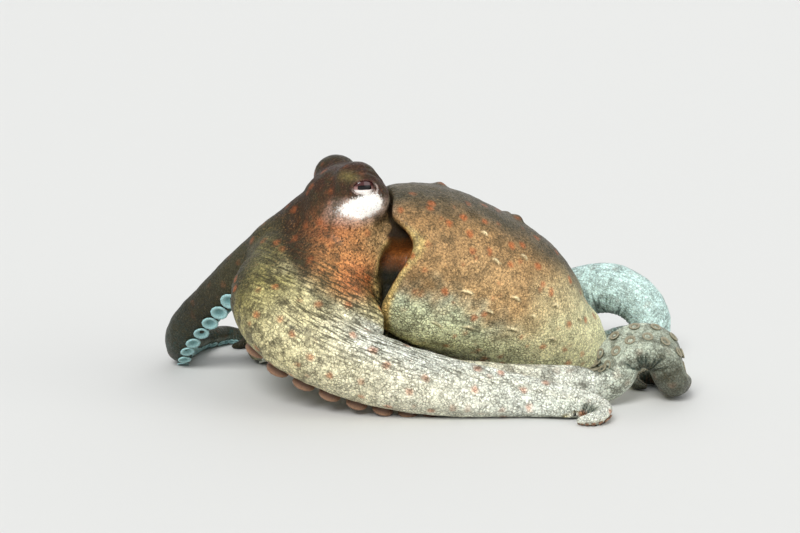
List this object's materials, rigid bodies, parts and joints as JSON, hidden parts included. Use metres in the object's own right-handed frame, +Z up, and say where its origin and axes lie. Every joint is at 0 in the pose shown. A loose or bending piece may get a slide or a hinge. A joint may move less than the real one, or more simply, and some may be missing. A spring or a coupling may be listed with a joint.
{
  "type": "octopus",
  "caption": "Life-size common octopus at rest, head raised over a crown of arms, mantle slumped to one side, arms lying, curled or arched beside it.",
  "frame": {"origin": "centre of the footprint's bounding box, on the floor the animal rests on", "axes": "+X towards the mantle's rear end, -Y the animal's left flank, +Z up"},
  "size_m": [0.3252, 0.259, 0.1418],
  "materials": {
    "skin": "wet, finely wrinkled, mottled grey-green and cream with red-brown",
    "eye": "wet, glossy, maroon-brown iris with a dark slit pupil"
  },
  "bodies": {
    "root": {"mantle": "skin", "head": "skin", "arm_crown": "skin", "siphon": "skin", "eye_left": "eye", "eye_right": "eye", "arm_L1_base": "skin", "arm_L1_middle": "skin", "arm_L1_tip": "skin", "arm_L2_base": "skin", "arm_L2_middle": "skin", "arm_L2_tip": "skin", "arm_L3_base": "skin", "arm_L3_middle": "skin", "arm_L3_tip": "skin", "arm_L4_base": "skin", "arm_L4_middle": "skin", "arm_L4_tip": "skin", "arm_R1_base": "skin", "arm_R1_middle": "skin", "arm_R1_tip": "skin", "arm_R2_base": "skin", "arm_R2_middle": "skin", "arm_R2_tip": "skin", "arm_R3_base": "skin", "arm_R3_middle": "skin", "arm_R3_tip": "skin", "arm_R4_base": "skin", "arm_R4_middle": "skin", "arm_R4_tip": "skin"}
  },
  "joints": []
}
